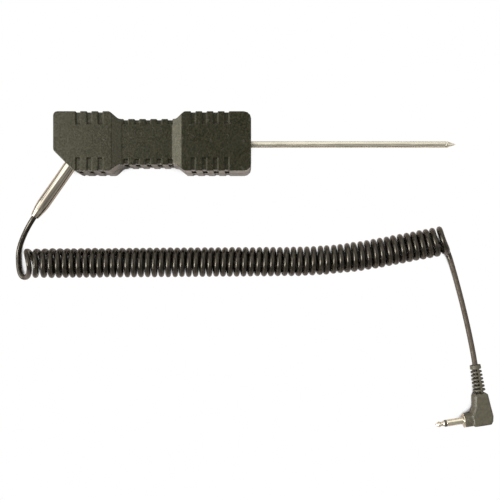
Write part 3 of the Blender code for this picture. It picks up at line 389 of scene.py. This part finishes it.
def tube(name, points, radii, material, sides=14):
    """A round cord along points, with its frame carried along so that it never twists, and flat ends."""
    points = np.array([tuple(p) for p in points])
    radii = np.broadcast_to(np.asarray(radii, float), len(points)).copy()
    tangents = np.gradient(points, axis=0)
    tangents /= np.linalg.norm(tangents, axis=1)[:, None]
    side = np.cross(tangents[0], (0.0, 0.0, 1.0))
    if np.linalg.norm(side) < 0.1:
        side = np.cross(tangents[0], (0.0, 1.0, 0.0))
    side /= np.linalg.norm(side)
    angles = 2 * np.pi * np.arange(sides) / sides
    rings = []
    for point, tangent, radius in zip(points, tangents, radii):
        side = side - tangent * (side @ tangent)
        side /= np.linalg.norm(side)
        other = np.cross(tangent, side)
        rings.append(point + radius * (np.outer(np.cos(angles), side) + np.outer(np.sin(angles), other)))
    vertices = np.concatenate(rings)
    count = len(points)
    faces = []
    for ring in range(count - 1):
        for k in range(sides):
            a, b = ring * sides + k, ring * sides + (k + 1) % sides
            faces.append((a, b, b + sides, a + sides))
    faces.append(tuple(reversed(range(sides))))
    faces.append(tuple(range((count - 1) * sides, count * sides)))
    mesh = bpy.data.meshes.new(name)
    mesh.from_pydata(vertices.tolist(), [], faces)
    mesh.validate()
    shape = bmesh.new()
    shape.from_mesh(mesh)
    bmesh.ops.recalc_face_normals(shape, faces=shape.faces)
    shape.to_mesh(mesh)
    shape.free()
    return add(name, mesh, material, 60)


# ---------------------------------------------------------------- grip, needle and sleeve

def grip_pieces():
    """Both shells with small fillets in place of the CAD's sharp edges."""
    voxel = 0.17 * MM
    for node, name in (("upper_shell", "grip_upper_half"), ("lower_shell", "grip_lower_half")):
        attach(softened(node, name, "grip", voxel, 1, 0.3), "grip")


def needle_pieces():
    """The hollow shaft, and the point with its stub inside the shaft."""
    forwards = axes_at((0, 0, AXIS_Z), X)
    back, front = TUBE_LOW.x, TUBE_HIGH.x
    bore = NEEDLE_RADIUS * 0.75
    profile = [(front, NEEDLE_RADIUS), (back, NEEDLE_RADIUS), (back, bore), (front, bore)]
    shaft = turned("needle_shaft", profile, forwards, "needle")
    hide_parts("needle_tube")
    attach(shaft, "grip")
    start = front + NEEDLE_SEAM
    stub, stub_radius = start - NEEDLE_STUB, bore * 0.9
    shoulder = NEEDLE_TIP - NEEDLE_TAPER
    profile = [(NEEDLE_TIP, 0), (NEEDLE_TIP - NEEDLE_BLUNT, NEEDLE_BLUNT), (shoulder, NEEDLE_RADIUS)]
    profile += [(start, NEEDLE_RADIUS), (start, stub_radius), (stub, stub_radius), (stub, 0)]
    tip = turned("needle_tip", profile, forwards, "needle", closed=False, radius=0.2 * MM)
    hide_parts("needle_point")
    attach(tip, "grip")


SLEEVE_AXIS = Vector((math.cos(SLEEVE_ANGLE), math.sin(SLEEVE_ANGLE), 0))
SLEEVE_EXIT = Vector((-73.6 * MM, -9.5 * MM, AXIS_Z))
SLEEVE_OUT = 32.6 * MM
SLEEVE_IN = 7 * MM
SLEEVE_RADIUS = 3.15 * MM
SLEEVE_TAPER = 9 * MM
SLEEVE_MOUTH = 2 * MM
SLEEVE_RIM = 0.3 * MM
SLEEVE_BORE = CORD_RADIUS + 0.25 * MM
SLEEVE_FLANGE_THICKNESS = 0.8 * MM
SLEEVE_FLANGE_STEP = 0.9 * MM
SLEEVE_TAPER_STEPS = 10


def sleeve_piece():
    """The tapered sleeve, swelling from its mouth, with a flange at its end inside the grip."""
    profile = [(SLEEVE_OUT, (SLEEVE_MOUTH + SLEEVE_BORE) / 2), (SLEEVE_OUT - SLEEVE_RIM, SLEEVE_MOUTH)]
    for step in range(1, SLEEVE_TAPER_STEPS + 1):
        share = step / SLEEVE_TAPER_STEPS
        swell = math.sin(math.pi / 2 * share)
        along = SLEEVE_OUT - SLEEVE_RIM - (SLEEVE_TAPER - SLEEVE_RIM) * share
        profile.append((along, SLEEVE_MOUTH + (SLEEVE_RADIUS - SLEEVE_MOUTH) * swell))
    back = -SLEEVE_IN
    front = back + SLEEVE_FLANGE_THICKNESS
    flange_radius = SLEEVE_RADIUS + SLEEVE_FLANGE_STEP
    profile += [(front, SLEEVE_RADIUS), (front, flange_radius), (back, flange_radius)]
    profile += [(back, SLEEVE_BORE), (SLEEVE_OUT, SLEEVE_BORE)]
    sleeve = turned("cord_sleeve", profile, axes_at(SLEEVE_EXIT, SLEEVE_AXIS), "sleeve", segments=64)
    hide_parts("strain_sleeve")
    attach(sleeve, "grip")


# ---------------------------------------------------------------- cord

COIL_RADIUS = 6.15 * MM
COIL_PITCH = 3.46 * MM
COIL_TURNS = 60
LOOSENING = 0.51
LOOSE_TURNS = 1.5
LAST_TURN_LOOSENING = 0.14
LAST_TURN_SWAY = 0.85 * MM
COIL_START = Vector((-96 * MM, -59.5 * MM, COIL_RADIUS + CORD_RADIUS))
COIL_HEADING = math.radians(0.4)
COIL_STRAIGHT = 131 * MM
BEND_RADIUS = 265 * MM
BEND_ANGLE = math.radians(10.5)
LEAN = 0.25 * MM
START_LEAN = 0.55 * MM
START_LEAN_TURNS = 6
END_LEAN = 1.1 * MM
END_LEAN_TURNS = 4
START_TIP = 1.8 * MM
START_TIP_TURNS = 2
END_TIP = 1.3 * MM
END_TIP_TURNS = 3.5
LEAD_IN_LOW = Vector(joint("coil_lift")["pos_m"])
SLEEVE_PULL = 16 * MM
LEAD_IN_PULL = 20 * MM
LOOP_PULL = 14.4 * MM
LOOP_BOTTOM = Vector((-99.8, -66.6, 2.7)) * MM
LOOP_BOTTOM_PULL = Vector((9, -1, 4)) * MM
LOOP_TOP = Vector((-94.5, -59.6, 13.6)) * MM
LOOP_TOP_PULL = Vector((-2, 11, 0)) * MM
TAIL_TOUCHDOWN = Vector((118.5 * MM, -57.2 * MM, CORD_RADIUS))
TAIL_HEADING = math.radians(16.5)
COIL_START_PULL = 8 * MM
LAST_TURN_PULL = 15 * MM
TOUCHDOWN_PULL = 12 * MM
TAIL_PULL = 50 * MM
SIDES = 14


def hermite(start, start_pull, end, end_pull, count):
    """Points on the cubic from start to end that leaves along start_pull and arrives along end_pull."""
    points = []
    for step in range(count + 1):
        t = step / count
        points.append(start * (2 * t**3 - 3 * t**2 + 1) + start_pull * (t**3 - 2 * t**2 + t)
                      + end * (3 * t**2 - 2 * t**3) + end_pull * (t**3 - t**2))
    return points


def heading(angle):
    return Vector((math.cos(angle), math.sin(angle), 0))


def coil_axis(distance):
    """The point and direction on the coil's axis: straight, then through an arc, then straight."""
    bend = min(max(distance - COIL_STRAIGHT, 0) / BEND_RADIUS, BEND_ANGLE)
    beyond = max(distance - COIL_STRAIGHT - BEND_RADIUS * BEND_ANGLE, 0)
    direction = heading(COIL_HEADING + bend)
    before, after = heading(COIL_HEADING - math.pi / 2), heading(COIL_HEADING + bend - math.pi / 2)
    straight = heading(COIL_HEADING) * min(distance, COIL_STRAIGHT)
    return COIL_START + straight + (after - before) * BEND_RADIUS + direction * beyond, direction


def coil_lean(turns):
    """How far a turn leans along the coil's axis; the turns at both ends lean more."""
    at_start = START_LEAN * math.exp(-turns / START_LEAN_TURNS)
    return LEAN + at_start + END_LEAN * math.exp((turns - COIL_TURNS) / END_LEAN_TURNS)


def coil_tip(turns):
    """How far the top of a turn is tipped along the coil's axis."""
    at_end = END_TIP * math.exp((turns - COIL_TURNS) / END_TIP_TURNS)
    return START_TIP * math.exp(-turns / START_TIP_TURNS) - at_end


def coil_point(turns):
    """The cord after some turns, with small differences from turn to turn away from the coil's ends."""
    last = max(turns - (COIL_TURNS - 1), 0)
    loosened = LOOSENING * LOOSE_TURNS * (1 - math.exp(-turns / LOOSE_TURNS)) + LAST_TURN_LOOSENING * last
    inside = min(max(turns, 0) / 3, 1) * min(max(COIL_TURNS - turns, 0) / 3, 1)
    shift = noise.noise(Vector((turns * 0.9, 3.1, 0))) * 0.08 * inside
    radius = COIL_RADIUS + noise.noise(Vector((turns * 0.6, 8.4, 2))) * 0.22 * MM * inside
    angle = -2 * math.pi * turns
    along = COIL_PITCH * (turns + loosened + shift) - coil_lean(turns) * math.cos(angle)
    along += coil_tip(turns) * max(math.sin(angle), 0) ** 2
    along += LAST_TURN_SWAY * math.sin(math.pi * last) ** 2
    centre, direction = coil_axis(along)
    side = Vector((-direction.y, direction.x, 0))
    return centre + side * (radius * math.cos(angle)) + Z * (radius * math.sin(angle))


def coil_tangent(turns):
    return (coil_point(turns + 0.001) - coil_point(turns - 0.001)).normalized()


def lead_in_path(count):
    """From the sleeve's mouth down to the floor, arriving along -Y."""
    mouth = SLEEVE_EXIT + SLEEVE_AXIS * SLEEVE_OUT
    return hermite(mouth, SLEEVE_AXIS * SLEEVE_PULL, LEAD_IN_LOW, -Y * LEAD_IN_PULL, count)


def entry_loop_path(count):
    """From the floor round under the -Y side and over the top to the coil's start."""
    loop = hermite(LEAD_IN_LOW, -Y * LOOP_PULL, LOOP_BOTTOM, LOOP_BOTTOM_PULL, count)[:-1]
    loop += hermite(LOOP_BOTTOM, LOOP_BOTTOM_PULL, LOOP_TOP, LOOP_TOP_PULL, count)[:-1]
    arriving = coil_tangent(0) * COIL_START_PULL
    return loop + hermite(LOOP_TOP, LOOP_TOP_PULL, coil_point(0), arriving, count)[:-1]


def tail_direction():
    return heading(TAIL_HEADING - math.pi / 2)


def tail_exit_path(count):
    """From the coil's last top point down its back to the floor."""
    last, leaving = coil_point(COIL_TURNS), coil_tangent(COIL_TURNS) * LAST_TURN_PULL
    return hermite(last, leaving, TAIL_TOUCHDOWN, tail_direction() * TOUCHDOWN_PULL, count)


PLUG_ORIGIN = Vector((134.8 * MM, -138 * MM, 3.9 * MM))
BODY_TOP = 12.7 * MM
BOOT_LENGTH = 14.4 * MM
JACKET_END = 9 * MM


def plug_matrix():
    pin = Vector((-math.cos(PLUG_TURN), -math.sin(PLUG_TURN), 0))
    boot = Vector((-math.sin(PLUG_TURN), math.cos(PLUG_TURN), 0))
    return Matrix.Translation(PLUG_ORIGIN) @ Matrix((pin, boot, pin.cross(boot))).transposed().to_4x4()


def tail_path(count):
    place = plug_matrix()
    mouth = place @ Vector((0, BODY_TOP + BOOT_LENGTH, 0))
    into = (PLUG_ORIGIN - mouth).normalized()
    return hermite(TAIL_TOUCHDOWN, tail_direction() * TAIL_PULL, mouth, into * TAIL_PULL, count)


LEAD_IN_STEPS = 30
ROOT_LENGTH = 6 * MM
STRAIGHT_STEPS = 8
LOOP_STEPS = 12
EXIT_STEPS = 20
TAIL_STEPS = 56
TAIL_CUT = 35


def cord_pieces():
    """Three lengths of cord: out of the sleeve, the coil with both its ends, and the tail into the boot."""
    lead_in = lead_in_path(LEAD_IN_STEPS)
    inner_end = SLEEVE_EXIT - SLEEVE_AXIS * (SLEEVE_IN + ROOT_LENGTH)
    shares = [step / STRAIGHT_STEPS for step in range(STRAIGHT_STEPS)]
    approach = [inner_end + (lead_in[0] - inner_end) * share for share in shares]
    start = tube("cord_from_sleeve", approach + lead_in, CORD_RADIUS, "cord", SIDES)
    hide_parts("cord_root", "cord_bend", "cord_lead_in")
    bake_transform(start)

    steps = 36
    entry = entry_loop_path(LOOP_STEPS)
    turns = [step / steps for step in range(COIL_TURNS * steps)]
    way_out = tail_exit_path(EXIT_STEPS)
    coil = entry + [coil_point(turn) for turn in turns] + way_out
    wound = tube("cord_wound", coil, CORD_RADIUS, "cord", SIDES)
    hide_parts("cord_entry_loop", "cord_coil", "cord_end_turn")
    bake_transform(wound)

    tail = tail_path(TAIL_STEPS)
    first = tube("cord_tail_run", tail[:TAIL_CUT + 1], CORD_RADIUS, "tail", SIDES)
    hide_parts("cord_tail_bend", "cord_tail")
    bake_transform(first)
    place = plug_matrix()
    shares = [1 - step / STRAIGHT_STEPS for step in range(1, STRAIGHT_STEPS + 1)]
    inside = [place @ Vector((0, BODY_TOP + BOOT_LENGTH * share, 0)) for share in shares]
    inside.append(place @ Vector((0, JACKET_END, 0)))
    last = tube("cord_into_boot", tail[TAIL_CUT:] + inside, CORD_RADIUS, "tail", SIDES)
    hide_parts("cord_stub")
    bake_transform(last)


# ---------------------------------------------------------------- plug

# distances along the pin from the plug's origin, and radii, of its three coaxial pieces
PIN_RADIUS = 1.75 * MM
FLANGE_BACK = 9.9 * MM
FLANGE_FRONT = FLANGE_BACK + 0.6 * MM
FLANGE_RADIUS = 3.6 * MM
PIN_END = FLANGE_FRONT + 14.3 * MM
RING_BACK = PIN_END - 5.6 * MM
RING_WIDTH = 0.8 * MM
RING_SEAT = 0.1 * MM
SHANK_BACK = 3.2 * MM
SHANK_RADIUS = 2 * MM
SHANK_BORE = 1.1 * MM
INSULATOR_BACK = 2.6 * MM
INSULATOR_RADIUS = 1 * MM
INSULATOR_BORE = 0.7 * MM
TIP_BACK = 1.6 * MM
TIP_ROD_RADIUS = 0.6 * MM
TIP_START = RING_BACK + 0.9 * MM


def shank_profile():
    seat = RING_BACK - RING_SEAT
    return [(seat, PIN_RADIUS), (FLANGE_FRONT, PIN_RADIUS), (FLANGE_FRONT, FLANGE_RADIUS),
            (FLANGE_BACK, FLANGE_RADIUS), (FLANGE_BACK, SHANK_RADIUS), (SHANK_BACK, SHANK_RADIUS),
            (SHANK_BACK, SHANK_BORE), (seat, SHANK_BORE)]


def insulator_profile():
    front = RING_BACK + RING_WIDTH
    return [(front, PIN_RADIUS), (RING_BACK, PIN_RADIUS), (RING_BACK, INSULATOR_RADIUS),
            (INSULATOR_BACK, INSULATOR_RADIUS), (INSULATOR_BACK, INSULATOR_BORE), (front, INSULATOR_BORE)]


def tip_profile():
    """A blunt point, a bulb, a waist, a collar against the ring, and the rod that runs back inside."""
    point = [(PIN_END, 0), (PIN_END - 0.15 * MM, 0.5 * MM)]
    bulb = [(PIN_END - 1.7 * MM, 1.4 * MM), (PIN_END - 2.1 * MM, 1.4 * MM)]
    waist = [(PIN_END - 3 * MM, 1.05 * MM), (TIP_START + 0.8 * MM, 1.2 * MM)]
    collar = [(TIP_START + 0.3 * MM, 1.6 * MM), (TIP_START, 1.6 * MM)]
    rod = [(TIP_START, TIP_ROD_RADIUS), (TIP_BACK, TIP_ROD_RADIUS), (TIP_BACK, 0)]
    return point + bulb + waist + collar + rod


def plug_pieces():
    """The moulding, its ribbed boot, and the pin's shank, insulating ring and point."""
    fine = 0.16 * MM
    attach(softened("plug_body", "plug_moulding", "plug", fine, 4), "plug")
    boot = softened("plug_boot", "plug_ribbed_boot", "plug", fine * 0.8, 2)
    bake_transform(boot)
    place = plug_matrix()
    shank = turned("plug_shank", shank_profile(), place, "nickel")
    ring = turned("plug_ring", insulator_profile(), place, "resin", radius=0.05 * MM)
    point = turned("plug_point", tip_profile(), place, "nickel", closed=False, radius=0.25 * MM)
    for piece, node in ((shank, "plug_sleeve"), (ring, "plug_insulator"), (point, "plug_tip")):
        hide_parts(node)
        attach(piece, "plug")


# ---------------------------------------------------------------- carried-over CAD nodes

CARRIED = {
    "screw": ("shell_screw_1", "shell_screw_2", "shell_screw_3", "shell_screw_4"),
    "brass": ("needle_hub", "cord_crimp"),
    "epoxy": ("sensing_bead",),
    "resin": ("nose_seal",),
    "red": ("sensor_lead_a", "conductor_a", "plug_wire_a"),
    "white": ("sensor_lead_b", "conductor_b", "plug_wire_b"),
    "board": ("joint_board",),
}


def dress_cad_nodes():
    for material, nodes in CARRIED.items():
        for node in nodes:
            data = frame["nodes"][node].data
            data.materials.clear()
            data.materials.append(MATERIALS[material])


# ---------------------------------------------------------------- studio

CAMERA_HEIGHT = 412 * MM
CAMERA_PLACE = Vector((15.75 * MM, -65.4 * MM, CAMERA_HEIGHT))
SENSOR = 36.0
FOCAL = 57.6  # 800 pixels of a 500-pixel frame
RISE = 0.05  # of the frame's side, by which the lens is shifted up
PANEL_PLACE = (-0.25, 0.25, 1.1)
PANEL_SIDE = 1.1
PANEL_POWER = 12
PANEL_TARGET = (0, -0.05, 0)
PANEL_COLOUR = (1, 0.99, 0.96)
FLOOR_REST = -0.02 * MM
FLOOR_SEEN = (1.0, 1.0, 1.0)
# colour of the floor's painted shadow under the coil
FLOOR_PAINTED_SHADOW = (0.01, 0.01, 0.01)
FLOOR_IN_MIRROR = (0.42, 0.38, 0.36)
# reach and occlusion range of the floor's painted shadow
FLOOR_REACH = 15 * MM
FLOOR_CLOSED_TO_OPEN = (0.32, 0.41)
ROOM_LEVEL = 0.12
ROOM_DIMMEST = 0.5
# azimuth and elevation in degrees, angles from there where the glow is full and where it ends, strength
ROOM_GLOWS = (
    (178, 58, 16, 27, 3.1),
    (198, 31, 7, 17, 24.0),
    (166, 27, 8, 19, 4.0),
    (90, 38, 16, 46, 1.5),
    (5, 35, 10, 40, 1.3),
    (-88, 42, 24, 52, -0.3),
)


def add_camera():
    data = bpy.data.cameras.new("camera")
    data.sensor_width = SENSOR
    data.lens = FOCAL
    data.shift_y = RISE
    data.clip_start = 0.01
    camera = bpy.data.objects.new("camera", data)
    camera.location = CAMERA_PLACE
    bpy.context.scene.collection.objects.link(camera)
    bpy.context.scene.camera = camera


def add_panel(name, place, target, size, power, colour):
    """An area light that brightens surfaces but isn't mirrored in them."""
    data = bpy.data.lights.new(name, "AREA")
    data.shape = "RECTANGLE"
    data.size, data.size_y = size
    data.energy = power
    data.color = colour
    light = bpy.data.objects.new(name, data)
    light.location = place
    aim = Vector(target) - Vector(place)
    light.rotation_euler = aim.to_track_quat("-Z", "Y").to_euler()
    light.visible_glossy = False
    bpy.context.scene.collection.objects.link(light)


def add_floor():
    """A plain pale card: white in the open, with a painted shadow only where the coil closes over it.
    Its mirror image in the metal and the plastic is a softer grey."""
    mesh = bpy.data.meshes.new("floor")
    shape = bmesh.new()
    bmesh.ops.create_grid(shape, x_segments=1, y_segments=1, size=1.5)
    shape.to_mesh(mesh)
    shape.free()
    floor = bpy.data.objects.new("floor", mesh)
    bpy.context.scene.collection.objects.link(floor)
    surface = Surface("floor_card", (0.9, 0.9, 0.9), 0.9)
    surface.set("Specular IOR Level", 0.0)
    surface.set("Base Color", (*FLOOR_IN_MIRROR, 1))
    # painted shadow: the camera sees the floor go dark where the coil closes over it
    opened = surface.node("AmbientOcclusion", {"Distance": FLOOR_REACH}, samples=16).outputs["AO"]
    openness = surface.remap(opened, *FLOOR_CLOSED_TO_OPEN, 0.0, 1.0)
    white = surface.mix(openness, FLOOR_PAINTED_SHADOW, FLOOR_SEEN)
    glow = surface.node("Emission", {"Color": white})
    seen = surface.node("LightPath", {}).outputs["Is Camera Ray"]
    both = surface.node("MixShader", {0: seen, 1: surface.shader.outputs[0], 2: glow.outputs[0]})
    surface.tree.links.new(both.outputs[0], surface.tree.nodes["Material Output"].inputs["Surface"])
    surface.material.cycles.emission_sampling = "NONE"
    mesh.materials.append(surface.material)
    floor.location.z = FLOOR_REST


def add_world():
    """A soft room, bright low towards -X and paler towards +Y and +X, and nowhere below its dimmest."""
    world = bpy.data.worlds.new("room")
    bpy.context.scene.world = world
    world.use_nodes = True
    tree = world.node_tree
    background = tree.nodes["Background"]
    direction = tree.nodes.new("ShaderNodeTexCoord").outputs["Generated"]
    total = None
    for azimuth, elevation, inner, outer, strength in ROOM_GLOWS:
        level = heading(math.radians(azimuth)) * math.cos(math.radians(elevation))
        dot = tree.nodes.new("ShaderNodeVectorMath")
        dot.operation = "DOT_PRODUCT"
        tree.links.new(direction, dot.inputs[0])
        dot.inputs[1].default_value = level + Z * math.sin(math.radians(elevation))
        fade = tree.nodes.new("ShaderNodeMapRange")
        fade.interpolation_type = "SMOOTHSTEP"
        fade.inputs["From Min"].default_value = math.cos(math.radians(outer))
        fade.inputs["From Max"].default_value = math.cos(math.radians(inner))
        fade.inputs["To Max"].default_value = strength
        tree.links.new(dot.outputs["Value"], fade.inputs["Value"])
        both = tree.nodes.new("ShaderNodeMath")
        both.operation = "ADD"
        both.inputs[0].default_value = ROOM_LEVEL
        if total:
            tree.links.new(total, both.inputs[0])
        tree.links.new(fade.outputs[0], both.inputs[1])
        total = both.outputs[0]
    above = tree.nodes.new("ShaderNodeMath")
    above.operation = "MAXIMUM"
    above.inputs[1].default_value = ROOM_DIMMEST
    tree.links.new(total, above.inputs[0])
    tree.links.new(above.outputs[0], background.inputs["Strength"])
    background.inputs["Color"].default_value = (1, 0.985, 0.93, 1)


def studio():
    add_camera()
    add_floor()
    add_world()
    size = (PANEL_SIDE, PANEL_SIDE)
    add_panel("overhead", PANEL_PLACE, PANEL_TARGET, size, PANEL_POWER, PANEL_COLOUR)
    bpy.context.scene.view_settings.view_transform = "Standard"


grip_pieces()
needle_pieces()
sleeve_piece()
cord_pieces()
plug_pieces()
dress_cad_nodes()
studio()
